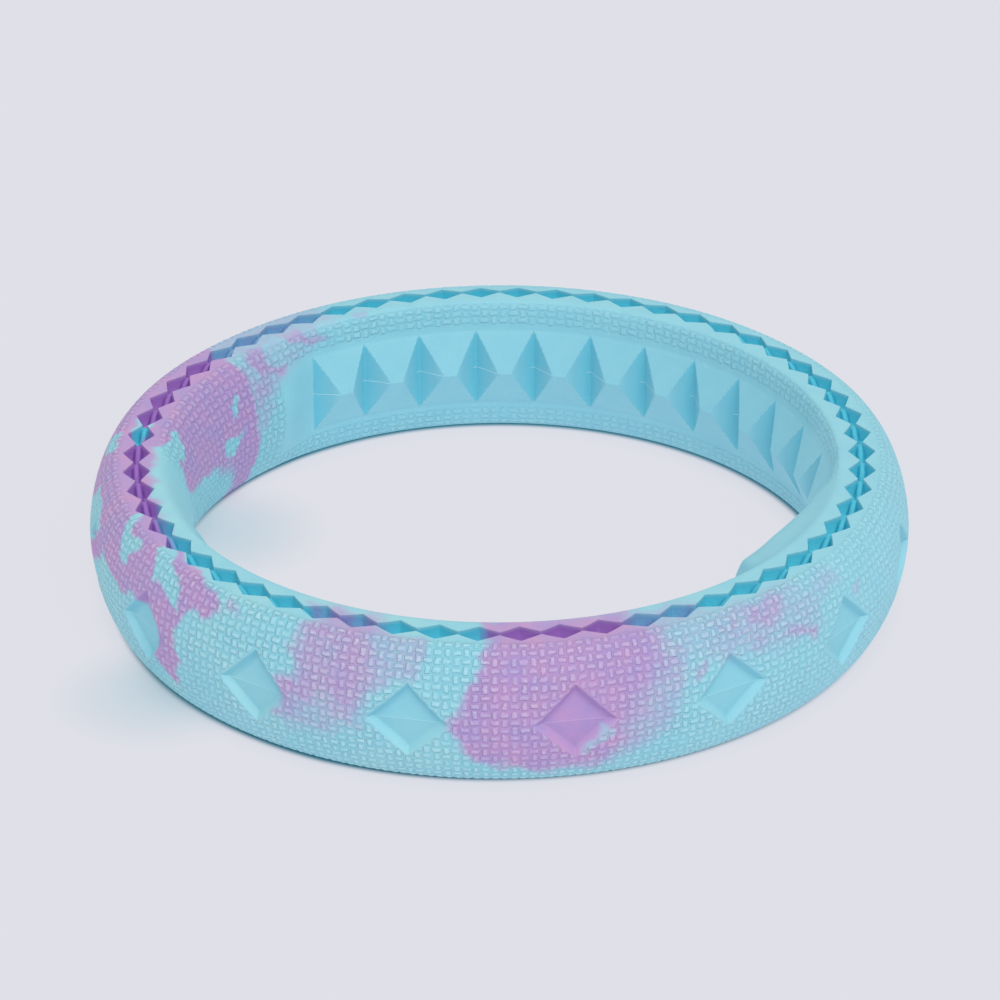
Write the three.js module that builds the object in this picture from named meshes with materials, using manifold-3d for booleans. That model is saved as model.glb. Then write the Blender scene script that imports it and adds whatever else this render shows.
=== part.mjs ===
// Dog ring toy: a closed-cell foam ring for pulling and fetching, lying flat.
// Two half rings meet at the equator and are held together by a thin bond line.
// Millimetres, +Z up, the origin on the ring's axis at the surface that it lies on.

import * as THREE from 'three';
import { ConvexGeometry } from 'three/addons/geometries/ConvexGeometry.js';
import { mergeVertices } from 'three/addons/utils/BufferGeometryUtils.js';
import Module from 'manifold-3d';

const wasm = await Module();
wasm.setup();

// Ring
const OUTER_RADIUS = 140;
const TUBE_WIDTH = 35;
const RING_HEIGHT = 50;
const SHOULDER_POWER = 1.75;
const SHOULDER_STEPS = 6;
const INNER_RADIUS = OUTER_RADIUS - TUBE_WIDTH;
const EQUATOR = RING_HEIGHT / 2;

// Bond line between the half rings, a little proud of the floors of the recesses
const BOND_THICKNESS = 0.4;
const BOND_STAND = 0.3;

// Crown: a flat land at the top and at the bottom, with a row of diamond pits in it.
// The row lies a little outside the middle of the tube, and a low neck joins each two pits.
const PIT_COUNT = 58;
const PIT_PHASE = 3.06;
const CROWN_OFFSET = 1;
const PIT_HALF_WIDTH = 4.8;
const PIT_DEPTH = 5.5;
const NECK_HALF_WIDTH = 0.75;
const NECK_DEPTH = 0.7;
const PIT_TAPER = 0.7;
const LAND_MARGIN = 1.6;
const PIT_CIRCLE_RADIUS = OUTER_RADIUS - TUBE_WIDTH / 2 + CROWN_OFFSET;
const LAND_HALF_WIDTH = PIT_HALF_WIDTH + LAND_MARGIN;
const COLUMNS = PIT_COUNT * 2;

// Pockets: large shallow diamonds round the outer wall
const POCKET_COUNT = 16;
const POCKET_PHASE = 10.1;
const POCKET_HALF_LENGTH = 10.9;
const POCKET_HALF_HEIGHT = 10.3;
const POCKET_DEPTH = 2.3;
const POCKET_TIP_DEPTH = 3.7;
const POCKET_DRAFT_DEPTH = 12;

// Teeth: pyramids with a short level ridge, side by side in two windows of the inner wall.
// The valleys between them stand at whole pitches from the first valley.
const TOOTH_PITCHES = 34;
const TOOTH_PITCH = 360 / TOOTH_PITCHES;
const FIRST_VALLEY = 88.9;
const BACK_VALLEYS = { first: 0, last: 12 };
const FRONT_VALLEYS = { first: 20, last: 30 };
const VALLEY_DEPTH = 8;
const RIDGE_DEPTH = 1.4;
const RIDGE_HALF_LENGTH = 2.2;
const TOOTH_HALF_HEIGHT = 14.5;
const TOOTH_SIDE_GAP = 0.15;
const TOOTH_ROOT = 3;
const WINDOW_SHOULDER_POWER = 3;
const VALLEY_RADIUS = INNER_RADIUS + VALLEY_DEPTH;
const RIDGE_RADIUS = INNER_RADIUS + RIDGE_DEPTH;
const ROOT_RADIUS = VALLEY_RADIUS + TOOTH_ROOT;

// Between the windows the wall is full, and on the right it swells further into the hole
const PAD = { start: 46.5, rise: 5, end: 88, fall: 28, swell: 7 };
const PAD_FLAT_HALF_HEIGHT = 18;
const PAD_SHOULDER = 6;

// A pocket's cutter reaches out past the wall, and a little past the equator
const MOUTH_SCALE = 1.6;
const EQUATOR_OVERRUN = 1;

const UPPER = 1;
const LOWER = -1;

// A point of the ring, from the angle in degrees from the front (-Y) towards +X,
// the radius and the height above the equator
function ringPoint(angle, radius, height) {
  const turn = THREE.MathUtils.degToRad(angle);
  return new THREE.Vector3(radius * Math.sin(turn), -radius * Math.cos(turn), EQUATOR + height);
}

// A superelliptic quarter: the share of the shoulder's reach left at a height
function shoulderReach(height, power) {
  return (1 - (Math.abs(height) / EQUATOR) ** power) ** (1 / power);
}

// Radius of the outer wall at a height above or below the equator
function outerWall(height) {
  const land = PIT_CIRCLE_RADIUS + LAND_HALF_WIDTH;
  return land + (OUTER_RADIUS - land) * shoulderReach(height, SHOULDER_POWER);
}

// Angle of a valley between two teeth
function valleyAngle(index) {
  return FIRST_VALLEY + index * TOOTH_PITCH;
}

// Share of the full wall at an angle: none between a window's end valleys, rising to all of it
// half a pitch further on
function fullWallShare(angle) {
  const halfPitch = TOOTH_PITCH / 2;
  return [BACK_VALLEYS, FRONT_VALLEYS].reduce((share, window) => {
    const middle = valleyAngle((window.first + window.last) / 2);
    const halfSpan = ((window.last - window.first) / 2) * TOOTH_PITCH;
    const away = Math.abs(THREE.MathUtils.euclideanModulo(angle - middle + 180, 360) - 180);
    return Math.min(share, THREE.MathUtils.clamp((away - halfSpan) / halfPitch, 0, 1));
  }, 1);
}

// How far the pad brings the inner wall into the hole at an angle and a height
function padSwell(angle, height) {
  const rise = THREE.MathUtils.smoothstep;
  const start = rise(angle, PAD.start, PAD.start + PAD.rise);
  const end = 1 - rise(angle, PAD.end - PAD.fall, PAD.end);
  const across = 1 - rise(Math.abs(height), PAD_FLAT_HALF_HEIGHT, PAD_FLAT_HALF_HEIGHT + PAD_SHOULDER);
  return PAD.swell * start * end * across;
}

// Radius of the inner wall at an angle and a height, without the teeth
function innerWall(angle, height) {
  const land = PIT_CIRCLE_RADIUS - LAND_HALF_WIDTH;
  const full = (land - INNER_RADIUS) * shoulderReach(height, SHOULDER_POWER) + padSwell(angle, height);
  const window = (land - VALLEY_RADIUS) * shoulderReach(height, WINDOW_SHOULDER_POWER);
  return land - THREE.MathUtils.lerp(window, full, fullWallShare(angle));
}

// Heights of a shoulder's rows above the equator, from the bond line to the land
function shoulderHeights() {
  const heights = [BOND_THICKNESS / 2];
  for (let step = 1; step <= SHOULDER_STEPS; step += 1) {
    const turn = (Math.PI / 2) * (step / SHOULDER_STEPS);
    heights.push(EQUATOR * Math.sin(turn) ** (2 / SHOULDER_POWER));
  }
  heights[SHOULDER_STEPS] = EQUATOR;
  return heights;
}

// Rows of a half ring's section, from the outer equator over the crown to the inner equator.
// Each row gives its radius and height at an angle, in a pit's middle column or a neck's column.
function halfRows() {
  const outer = shoulderHeights().map((height) => () => [outerWall(height), height]);
  const inner = shoulderHeights().map((height) => (angle) => [innerWall(angle, height), height]);
  const crown = (side, middle, neck) => (angle, isMiddle) => {
    const { halfWidth, depth } = isMiddle ? middle : neck;
    return [PIT_CIRCLE_RADIUS + side * halfWidth, EQUATOR - depth];
  };
  const rim = [{ halfWidth: PIT_HALF_WIDTH, depth: 0 }, { halfWidth: NECK_HALF_WIDTH, depth: 0 }];
  const floor = [
    { halfWidth: PIT_HALF_WIDTH * PIT_TAPER, depth: PIT_DEPTH },
    { halfWidth: NECK_HALF_WIDTH * PIT_TAPER, depth: NECK_DEPTH },
  ];
  const pit = [crown(1, ...rim), crown(1, ...floor), crown(-1, ...floor), crown(-1, ...rim)];
  return [...outer, ...pit, ...inner.reverse()];
}

// A closed ring from rows of its section: a lathe whose vertices are then set column by column,
// pit middles and necks by turns
function ringGeometry(rows, side) {
  const ordered = side === UPPER ? rows : [...rows].reverse();
  const outline = ordered.map((row) => {
    const [radius, height] = row(0, true);
    return new THREE.Vector2(radius, height * side);
  });
  outline.push(outline[0].clone());
  const geometry = new THREE.LatheGeometry(outline, COLUMNS);
  const position = geometry.getAttribute('position');
  for (let index = 0; index < position.count; index += 1) {
    const column = Math.floor(index / outline.length) % COLUMNS;
    const row = ordered[(index % outline.length) % ordered.length];
    const angle = (PIT_PHASE + (column * 360) / COLUMNS) % 360;
    const [radius, height] = row(angle, column % 2 === 0);
    const point = ringPoint(angle, radius, height * side);
    position.setXYZ(index, point.x, point.y, point.z);
  }
  return geometry;
}

// A solid for joining and cutting, from a geometry whose equal vertices are merged first
function toSolid(geometry) {
  const bare = geometry.clone();
  bare.deleteAttribute('normal');
  bare.deleteAttribute('uv');
  const merged = mergeVertices(bare, 1e-4);
  const mesh = new wasm.Mesh({
    numProp: 3,
    vertProperties: new Float32Array(merged.getAttribute('position').array),
    triVerts: new Uint32Array(merged.getIndex().array),
  });
  return new wasm.Manifold(mesh);
}

function fromSolid(solid) {
  const mesh = solid.getMesh();
  const geometry = new THREE.BufferGeometry();
  geometry.setAttribute('position', new THREE.BufferAttribute(mesh.vertProperties, mesh.numProp));
  geometry.setIndex(new THREE.BufferAttribute(mesh.triVerts, 1));
  geometry.computeVertexNormals();
  return geometry;
}

// A convex solid on one side of the equator, from corners given as
// [offset along the wall, radius, height above the equator]
function convexSolid(corners, angle, side) {
  const points = corners.map(([along, radius, height]) => {
    const offset = THREE.MathUtils.radToDeg(Math.atan2(along, radius));
    return ringPoint(angle + offset, Math.hypot(radius, along), height * side);
  });
  return toSolid(new ConvexGeometry(points));
}

// The angles at the middles of all teeth
function toothAngles() {
  const angles = [];
  [BACK_VALLEYS, FRONT_VALLEYS].forEach((window) => {
    for (let valley = window.first; valley < window.last; valley += 1) {
      angles.push(valleyAngle(valley + 0.5));
    }
  });
  return angles;
}

function pocketAngles() {
  return Array.from({ length: POCKET_COUNT }, (_, index) => POCKET_PHASE + (index * 360) / POCKET_COUNT);
}

// Half of a pocket: its floor follows the bulge of the wall, and its walls are drafted
function pocketCorners(stand) {
  const centre = [0, OUTER_RADIUS - POCKET_DRAFT_DEPTH, 0];
  const floorRadius = OUTER_RADIUS - POCKET_DEPTH + stand;
  const left = [-POCKET_HALF_LENGTH, floorRadius, 0];
  const right = [POCKET_HALF_LENGTH, floorRadius, 0];
  const tip = [0, OUTER_RADIUS - POCKET_TIP_DEPTH + stand, POCKET_HALF_HEIGHT];
  const floor = [left, right, tip];
  const mouth = floor.map((corner) => corner.map(
    (value, axis) => centre[axis] + (value - centre[axis]) * MOUTH_SCALE,
  ));
  const below = [left, right, mouth[0], mouth[1]].map(
    ([along, radius]) => [along, radius, -EQUATOR_OVERRUN],
  );
  return [...floor, ...mouth, ...below];
}

// Half of the distance between two valleys, less the gap kept at a tooth's side
function toothHalfLength() {
  return VALLEY_RADIUS * Math.tan(THREE.MathUtils.degToRad(TOOTH_PITCH / 2)) - TOOTH_SIDE_GAP;
}

// Half of a tooth, from the bond line up: its foot is buried in the wall
function toothCorners() {
  const half = toothHalfLength();
  const low = BOND_THICKNESS / 2;
  const ridge = [-1, 1].map((end) => [end * RIDGE_HALF_LENGTH, RIDGE_RADIUS, low]);
  const foot = [-half, half].flatMap((along) => [VALLEY_RADIUS, ROOT_RADIUS].flatMap(
    (radius) => [low, TOOTH_HALF_HEIGHT].map((height) => [along, radius, height]),
  ));
  return [...ridge, ...foot];
}

// The bond line's slice of a tooth, a little proud of the tooth's sides
function toothSliceCorners() {
  const half = toothHalfLength();
  const outline = [
    [-RIDGE_HALF_LENGTH, RIDGE_RADIUS - BOND_STAND],
    [RIDGE_HALF_LENGTH, RIDGE_RADIUS - BOND_STAND],
    [-half, VALLEY_RADIUS - BOND_STAND],
    [half, VALLEY_RADIUS - BOND_STAND],
    [-half, ROOT_RADIUS],
    [half, ROOT_RADIUS],
  ];
  const halfThickness = BOND_THICKNESS / 2;
  return [-halfThickness, halfThickness].flatMap(
    (height) => outline.map(([along, radius]) => [along, radius, height]),
  );
}

function halfRing(side) {
  let solid = toSolid(ringGeometry(halfRows(), side));
  toothAngles().forEach((angle) => {
    solid = solid.add(convexSolid(toothCorners(), angle, side));
  });
  pocketAngles().forEach((angle) => {
    solid = solid.subtract(convexSolid(pocketCorners(0), angle, side));
  });
  return fromSolid(solid);
}

// The bond line fills the joint from the inner wall to the outer wall
function bondLine() {
  const half = BOND_THICKNESS / 2;
  const rows = [
    () => [outerWall(half), -half],
    () => [outerWall(half), half],
    (angle) => [innerWall(angle, half), half],
    (angle) => [innerWall(angle, half), -half],
  ];
  let solid = toSolid(ringGeometry(rows, UPPER));
  toothAngles().forEach((angle) => {
    solid = solid.add(convexSolid(toothSliceCorners(), angle, UPPER));
  });
  pocketAngles().forEach((angle) => {
    [UPPER, LOWER].forEach((side) => {
      solid = solid.subtract(convexSolid(pocketCorners(BOND_STAND), angle, side));
    });
  });
  return fromSolid(solid);
}

function foam(colour) {
  return new THREE.MeshStandardMaterial({ color: colour, roughness: 0.75, metalness: 0 });
}

function piece(name, geometry, material) {
  const mesh = new THREE.Mesh(geometry, material);
  mesh.name = name;
  return mesh;
}

const dogRing = new THREE.Group();
dogRing.add(piece('upper_ring_half', halfRing(UPPER), foam(0x8fd0e0)));
dogRing.add(piece('lower_ring_half', halfRing(LOWER), foam(0x8fd0e0)));
dogRing.add(piece('bond_line', bondLine(), foam(0xb4e4ee)));

export default dogRing;
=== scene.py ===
# %% [markdown]
# # A foam ring toy for dogs
# The object is a ring of closed-cell foam that a dog fetches and pulls. It comes out of a hot
# mould, so everything on it is mould relief: a row of diamond pits along the crown, shallow
# diamond pockets round the outside, a row of pyramid teeth in the hole, and a plain-weave
# texture like coarse cloth between them. Two colours of foam are marbled together before
# moulding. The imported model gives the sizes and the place, so it is loaded first.

# %% Load the fixed frame
import math

import bpy
import numpy as np
from mathutils import Matrix, Vector


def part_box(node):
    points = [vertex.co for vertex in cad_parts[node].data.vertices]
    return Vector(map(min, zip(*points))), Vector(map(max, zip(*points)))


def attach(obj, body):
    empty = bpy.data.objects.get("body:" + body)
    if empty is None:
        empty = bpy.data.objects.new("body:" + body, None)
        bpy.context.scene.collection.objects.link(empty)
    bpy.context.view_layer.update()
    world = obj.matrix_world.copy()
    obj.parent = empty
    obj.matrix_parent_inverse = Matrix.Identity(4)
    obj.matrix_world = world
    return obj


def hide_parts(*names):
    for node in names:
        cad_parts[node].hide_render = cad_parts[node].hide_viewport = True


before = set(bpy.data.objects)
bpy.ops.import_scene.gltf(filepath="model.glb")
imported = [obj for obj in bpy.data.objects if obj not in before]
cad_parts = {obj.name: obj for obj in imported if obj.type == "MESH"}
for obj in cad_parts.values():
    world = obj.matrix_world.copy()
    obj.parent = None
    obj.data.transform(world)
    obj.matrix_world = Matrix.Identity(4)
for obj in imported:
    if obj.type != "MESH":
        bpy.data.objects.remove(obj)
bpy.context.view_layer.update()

print("nodes:", sorted(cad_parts))

# %% [markdown]
# ## Sizes
# All shapes below are worked out in millimetres, as a toolmaker would give them, and turned to
# metres when they become a mesh. The outer radius and the height come from the frame. Angles go
# round from the front, which is -Y, towards +X. Heights are counted from the equator, the level
# halfway up, because the ring is the same above and below it.

# %% Driving sizes
MM = 0.001
low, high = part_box("upper_ring_half")
base_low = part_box("lower_ring_half")[0]
OUTER_RADIUS = (high.x - low.x) / 2 / MM
RING_HEIGHT = (high.z - base_low.z) / MM
EQUATOR = RING_HEIGHT / 2
TUBE_WIDTH = 35
INNER_RADIUS = OUTER_RADIUS - TUBE_WIDTH
SHOULDER_POWER = 1.75

PIT_COUNT = 58
PIT_PHASE = 3.06
CROWN_OFFSET = 1
PIT_CIRCLE = OUTER_RADIUS - TUBE_WIDTH / 2 + CROWN_OFFSET
PIT_HALF_WIDTH = 4.8
PIT_DEPTH = 5.5
PIT_DRAFT = 0.16
WEB_HALF_WIDTH = 0.9
WEB_DEPTH_AT_NECK = 1.3
WEB_DEPTH_IN_PIT = 4.7
LAND_MARGIN = 1.6
LAND_HALF_WIDTH = PIT_HALF_WIDTH + LAND_MARGIN

print(f"ring {2 * OUTER_RADIUS:.1f} mm across, {RING_HEIGHT:.1f} mm high,",
      f"hole {2 * INNER_RADIUS:.1f} mm")

# %% [markdown]
# ## Columns that fit every pattern
# The ring is a grid: columns go round it and rows go over its section. A sharp edge looks clean
# only if it runs along grid lines or across squares from corner to corner. So the number of
# columns is a whole number for each pit and for each pocket, and where a pattern doesn't fit,
# as the teeth don't, the columns slide round by less than one step until they do.

# %% Columns
COLUMNS_PER_PIT = 32
COLUMNS = PIT_COUNT * COLUMNS_PER_PIT
STEP = 360 / COLUMNS
column = np.arange(COLUMNS)
crown_angle = PIT_PHASE + STEP * column

POCKET_COUNT = 16
POCKET_PHASE = 10.1
COLUMNS_PER_POCKET = COLUMNS // POCKET_COUNT
first_pocket_column = round((POCKET_PHASE - PIT_PHASE) / STEP)
pocket_slide = POCKET_PHASE - crown_angle[first_pocket_column]

TOOTH_PITCH = 360 / 34
FIRST_VALLEY = 88.9
RIDGE_HALF_LENGTH = 2.2
VALLEY_RADIUS = INNER_RADIUS + 8
RIDGE_RADIUS = INNER_RADIUS + 1.4
TOOTH_HALF_HEIGHT = 14.5
FLANK_SPAN = TOOTH_PITCH / 2 - math.degrees(RIDGE_HALF_LENGTH / RIDGE_RADIUS)
FLANK_COLUMNS = int(FLANK_SPAN / STEP)
WINDOWS = (
    {"first": 0, "last": 12, "ramp": 1.0},
    {"first": 20, "last": 30, "ramp": 0.5},
)


def valley_angles(window):
    """The angles of the creases between teeth: whole pitches on from the first one."""
    return FIRST_VALLEY + TOOTH_PITCH * np.arange(window["first"], window["last"] + 1)


def tooth_columns():
    """The columns' angles on the inner wall. Each valley takes the column that is nearest to it,
    the ends of the ridges take those a fixed number of columns away from it, and the columns
    between them are spaced evenly."""
    keys = {}
    for window in WINDOWS:
        for valley in valley_angles(window):
            middle = round((valley - PIT_PHASE) / STEP)
            keys[middle] = valley
            for side in (-1, 1):
                keys[middle + side * FLANK_COLUMNS] = valley + side * FLANK_SPAN
    places = sorted(keys)
    for end in (places[0] - COLUMNS_PER_PIT, places[-1] + COLUMNS_PER_PIT):
        keys[end] = PIT_PHASE + STEP * end
    places = sorted(keys)
    spread = np.arange(places[0], places[-1] + 1)
    angles = np.interp(spread, places, [keys[place] for place in places])
    slid = np.zeros(COLUMNS)
    slid[spread % COLUMNS] = angles - (PIT_PHASE + STEP * spread)
    return crown_angle + slid


inner_angle = tooth_columns()
largest_slide = np.abs(inner_angle - crown_angle).max() / STEP
print(f"{COLUMNS} columns, largest slide {largest_slide:.2f} of a step")

# %% [markdown]
# ## The section
# A slice through the tube has a flat land at the crown, with shoulders that round off like a
# superellipse. That is an ellipse with another power than two, and 1.75 makes it a little
# straighter than an ellipse. Rows are spaced by distance along that curve. That distance from
# the middle of the crown is also what the colours and the weave are drawn with, so each row
# keeps its own: positive outside, negative in the hole.

# %% The shoulder's curve
CURVE_POINTS = 4001


def shoulder_reach(height, power):
    """Share of the shoulder's width that is left at a height, from 1 at the equator to 0 at the
    crown. On a superellipse this share and the height's share of the whole, each to the same
    power, add up to 1."""
    share = np.clip(np.abs(height) / EQUATOR, 0, 1)
    return (1 - share**power) ** (1 / power)


def shoulder_lengths():
    """Heights along the shoulder and the distance of each from the middle of the crown, summed
    along the curve from the land's edge down to the equator."""
    turn = np.linspace(math.pi / 2, 0, CURVE_POINTS)
    height = EQUATOR * np.sin(turn) ** (2 / SHOULDER_POWER)
    width = OUTER_RADIUS - PIT_CIRCLE - LAND_HALF_WIDTH
    reach = width * shoulder_reach(height, SHOULDER_POWER)
    steps = np.hypot(np.diff(height), np.diff(reach))
    return height, LAND_HALF_WIDTH + np.concatenate([[0], np.cumsum(steps)])


curve_height, curve_distance = shoulder_lengths()
EQUATOR_DISTANCE = curve_distance[-1]


def height_at(distance):
    """Height above the equator at a distance from the middle of the crown."""
    return np.interp(distance, curve_distance, curve_height)


print(f"from the crown's middle to the equator: {EQUATOR_DISTANCE:.1f} mm")

# %% [markdown]
# ## Outer wall and its pockets
# A pocket is a diamond: the places where the distance along the ring and the distance from the
# equator, each as a share of the diamond's half size, add up to less than one. Its walls slope
# in at a fixed draft so that the ring leaves the mould, and its floor is two flat facets that
# meet at the equator. With as many rows as columns in half a diamond, its edges cross the
# grid's squares exactly from corner to corner.

# %% Pockets
POCKET_HALF_COLUMNS = 29
POCKET_DRAFT_COLUMNS = 6
POCKET_HALF_HEIGHT = 13.8
POCKET_DEPTH = 2.3
POCKET_TIP_DEPTH = 3.7
POCKET_TIP_HEIGHT = 10.3
FLAT_REACH = 0.2  # radians from a pocket's middle within which its floor is flat
POCKET_HALF_LENGTH = POCKET_HALF_COLUMNS * math.radians(STEP) * OUTER_RADIUS
POCKET_SIDE = math.hypot(POCKET_HALF_LENGTH, POCKET_HALF_HEIGHT)
EDGE_SCALE = POCKET_HALF_LENGTH * POCKET_HALF_HEIGHT / POCKET_SIDE
DRAFT_WIDTH = EDGE_SCALE * POCKET_DRAFT_COLUMNS / POCKET_HALF_COLUMNS
DRAFT_SLOPE = POCKET_DEPTH / DRAFT_WIDTH


def pocket_columns():
    """For each column, how many columns it is from the nearest pocket's middle."""
    away = (column - first_pocket_column) % COLUMNS_PER_POCKET
    return np.minimum(away, COLUMNS_PER_POCKET - away)


def pocket_inside(distance):
    """How far a place lies inside a pocket's edge, in millimetres, and below zero outside it."""
    along = pocket_columns() / POCKET_HALF_COLUMNS
    across = (EQUATOR_DISTANCE - distance) / POCKET_HALF_HEIGHT
    return (1 - along - across) * EDGE_SCALE


def outer_radius(distance):
    """Radius of the outer wall: the shoulder's curve, cut back by the pockets. A pocket's wall
    falls with the draft until it meets the floor facet."""
    height = height_at(distance)
    land = PIT_CIRCLE + LAND_HALF_WIDTH
    wall = land + (OUTER_RADIUS - land) * shoulder_reach(height, SHOULDER_POWER)
    depth = DRAFT_SLOPE * np.maximum(pocket_inside(distance), 0)
    off = np.radians(STEP * pocket_columns())
    fall = (POCKET_TIP_DEPTH - POCKET_DEPTH) * height / POCKET_TIP_HEIGHT
    floor = (OUTER_RADIUS - POCKET_DEPTH - fall) / np.cos(np.minimum(off, FLAT_REACH))
    return np.where(depth > 0, np.maximum(wall - depth, np.minimum(floor, wall)), wall)


print(f"pockets {2 * POCKET_HALF_LENGTH:.1f} x {2 * POCKET_HALF_HEIGHT:.1f} mm,",
      f"walls {DRAFT_WIDTH:.1f} mm wide")

# %% [markdown]
# ## Inner wall: windows, full wall and pad
# The wall of the hole has teeth in two windows. Between them it is full, and at the right it
# swells into a pad. Nothing moulded in foam starts or ends at once, so one S-shaped curve
# serves for every rise and fall, here and in the weave and the colours later on.


# %% Rises, falls and turns
def smooth(value, start, end):
    """Smoothstep: 0 before start, 1 after end, and an S-shaped rise between them."""
    share = np.clip((value - start) / (end - start), 0, 1)
    return share * share * (3 - 2 * share)


def hump(value, start, full, fade, end):
    """0 before start, 1 from full to fade and 0 after end, with an S-shaped rise and fall."""
    return smooth(value, start, full) * (1 - smooth(value, fade, end))


def half_turn(angle):
    """The same direction as an angle between -180 and 180 degrees."""
    return (angle + 180) % 360 - 180


print("a rise at a quarter, a half and three quarters:", smooth(np.array([0.25, 0.5, 0.75]), 0, 1))

# %% [markdown]
# The full wall rises past the ends of a window over one pitch of the teeth, or half of one. The
# pad starts at a steep step and fades out slowly, as the outline of the hole shows.

# %% Windows, full wall and pad
RAMP_LEAD = -0.15  # the rise is already under way at the window's end
PAD = {"start": 46.5, "rise": 5, "end": 88, "fall": 28}  # degrees
PAD_SWELL = 7
PAD_FLAT_HEIGHT = 18
PAD_SHOULDER = 6


def window_distance(angle, window):
    """Degrees past the window's first or last valley, and 0 between them."""
    middle = FIRST_VALLEY + TOOTH_PITCH * (window["first"] + window["last"]) / 2
    half_span = TOOTH_PITCH * (window["last"] - window["first"]) / 2
    return np.maximum(np.abs(half_turn(angle - middle)) - half_span, 0)


def nearest_window(angle):
    """Degrees to the nearest window, and 0 within one."""
    return np.min([window_distance(angle, window) for window in WINDOWS], axis=0)


def full_share(angle):
    """Share of the full wall: none within a window, rising to all of it past its ends."""
    share = np.ones_like(angle)
    for window in WINDOWS:
        past = window_distance(angle, window) / (TOOTH_PITCH * window["ramp"])
        share = np.minimum(share, smooth(past, RAMP_LEAD, 1))
    return share


def pad_swell(angle, height):
    """How far the pad stands into the hole: an S-shaped rise and fall, the same at all heights
    up to its shoulder."""
    risen, falling = PAD["start"] + PAD["rise"], PAD["end"] - PAD["fall"]
    along = hump(angle % 360, PAD["start"], risen, falling, PAD["end"])
    across = 1 - smooth(height, PAD_FLAT_HEIGHT, PAD_FLAT_HEIGHT + PAD_SHOULDER)
    return PAD_SWELL * along * across


print(f"pad {PAD_SWELL} mm high, {PAD['end'] - PAD['start']:.0f} degrees long")

# %% [markdown]
# ## Inner wall: the teeth
# A tooth is a pyramid that ends in a short level ridge. Seen from the hole it has four facets,
# and the surface is whichever facet lies deepest at that place, so two straight slopes and one
# maximum are enough.

# %% Teeth
WINDOW_SHOULDER_POWER = 3


def valley_distance(angle):
    """Degrees to the nearest valley between teeth, or half a pitch outside the windows."""
    nearest = np.full_like(angle, TOOTH_PITCH / 2)
    for window in WINDOWS:
        for valley in valley_angles(window):
            nearest = np.minimum(nearest, np.abs(half_turn(angle - valley)))
    return nearest


def tooth_facets(angle, height):
    """Radius of a tooth's flank and of its sloping face: two straight slopes, one by the angle
    from the valley and one by the height."""
    rise = VALLEY_RADIUS - RIDGE_RADIUS
    flank = VALLEY_RADIUS - rise * np.minimum(valley_distance(angle) / FLANK_SPAN, 1)
    face = VALLEY_RADIUS - rise * (1 - min(height / TOOTH_HALF_HEIGHT, 1))
    return flank, face


def in_windows(angle):
    """True between the first and the last valley of a window."""
    return nearest_window(angle) == 0


def inner_radius(angle, distance):
    """Radius of the inner wall: full wall and pad outside the windows, and in them the deeper of
    a tooth's flank and its sloping face."""
    height = height_at(distance)
    land = PIT_CIRCLE - LAND_HALF_WIDTH
    full = land - (land - INNER_RADIUS) * shoulder_reach(height, SHOULDER_POWER)
    full = full - pad_swell(angle, height)
    back = land - (land - VALLEY_RADIUS) * shoulder_reach(height, WINDOW_SHOULDER_POWER)
    flank, face = tooth_facets(angle, height)
    toothed = np.where(height < TOOTH_HALF_HEIGHT, np.maximum(flank, face), back)
    return np.where(in_windows(angle), toothed, back + (full - back) * full_share(angle))


def flank_depth(angle, distance):
    """How deep a place on a flank lies, from 0 at the ridge to 1 in the valley, and 0 off it."""
    height = height_at(distance)
    flank, face = tooth_facets(angle, height)
    on_flank = in_windows(angle) & (height < TOOTH_HALF_HEIGHT) & (flank > face)
    return np.where(on_flank, (flank - RIDGE_RADIUS) / (VALLEY_RADIUS - RIDGE_RADIUS), 0)


ridge_pitch = RIDGE_RADIUS * math.radians(TOOTH_PITCH)
print(f"teeth {ridge_pitch:.1f} mm apart, {2 * TOOTH_HALF_HEIGHT:.0f} mm high")

# %% [markdown]
# ## The crown's pits
# Each pit is a diamond with steep walls, cut in two along the ring by a thin web, so it is really
# a pair of triangular pits back to back. The rim's half width falls in a straight line from a
# pit's middle to the neck, where only the web is left. The web's top sags between necks, from
# 1.3 to 4.7 mm below the land. Both walls of a pit lean by the same draft, so near a neck they
# meet before they reach full depth.

# %% Pits
WEB_FOOT_SHARE = 0.94  # the web's foot stays clear of the wall's foot
WEB_TOP_SHARE = 0.8
WEB_CHAMFER = 0.1
CROWN_LEAN = 1.0
LEAN_TURNS = (95, 135)  # degrees from the front, either way
LAND_STEPS = (0.0, 0.4, 0.7, 0.88, 0.96)
WALL_STEPS = (0.0, 0.05, 0.25, 0.5, 0.75, 0.94, 1.0)
WEB_STEPS = ((1.0, 1.0), (0.25, 0.3), (0.0, 0.0))


def pit_shape():
    """Half width of the pit row, depth of the pits and depth of the web's top at each column.
    All come from how far the column is between a pit's middle (0) and a neck (1)."""
    half = COLUMNS_PER_PIT // 2
    away = np.abs((column + half) % COLUMNS_PER_PIT - half) / half
    width = PIT_HALF_WIDTH + (WEB_HALF_WIDTH - PIT_HALF_WIDTH) * away
    sag = (WEB_DEPTH_IN_PIT - WEB_DEPTH_AT_NECK) * (1 + np.cos(np.pi * away)) / 2
    web = WEB_DEPTH_AT_NECK + sag
    meeting = ((width - WEB_HALF_WIDTH) / PIT_DRAFT + web) / 2
    return width, np.clip(meeting, web, PIT_DEPTH), web


def crown_lean(angle, outward):
    """Drop of the crown's outer edge round the back, where the real ring is a little twisted."""
    return CROWN_LEAN * smooth(np.abs(half_turn(angle)), *LEAN_TURNS) * np.clip(outward, 0, 1)


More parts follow.
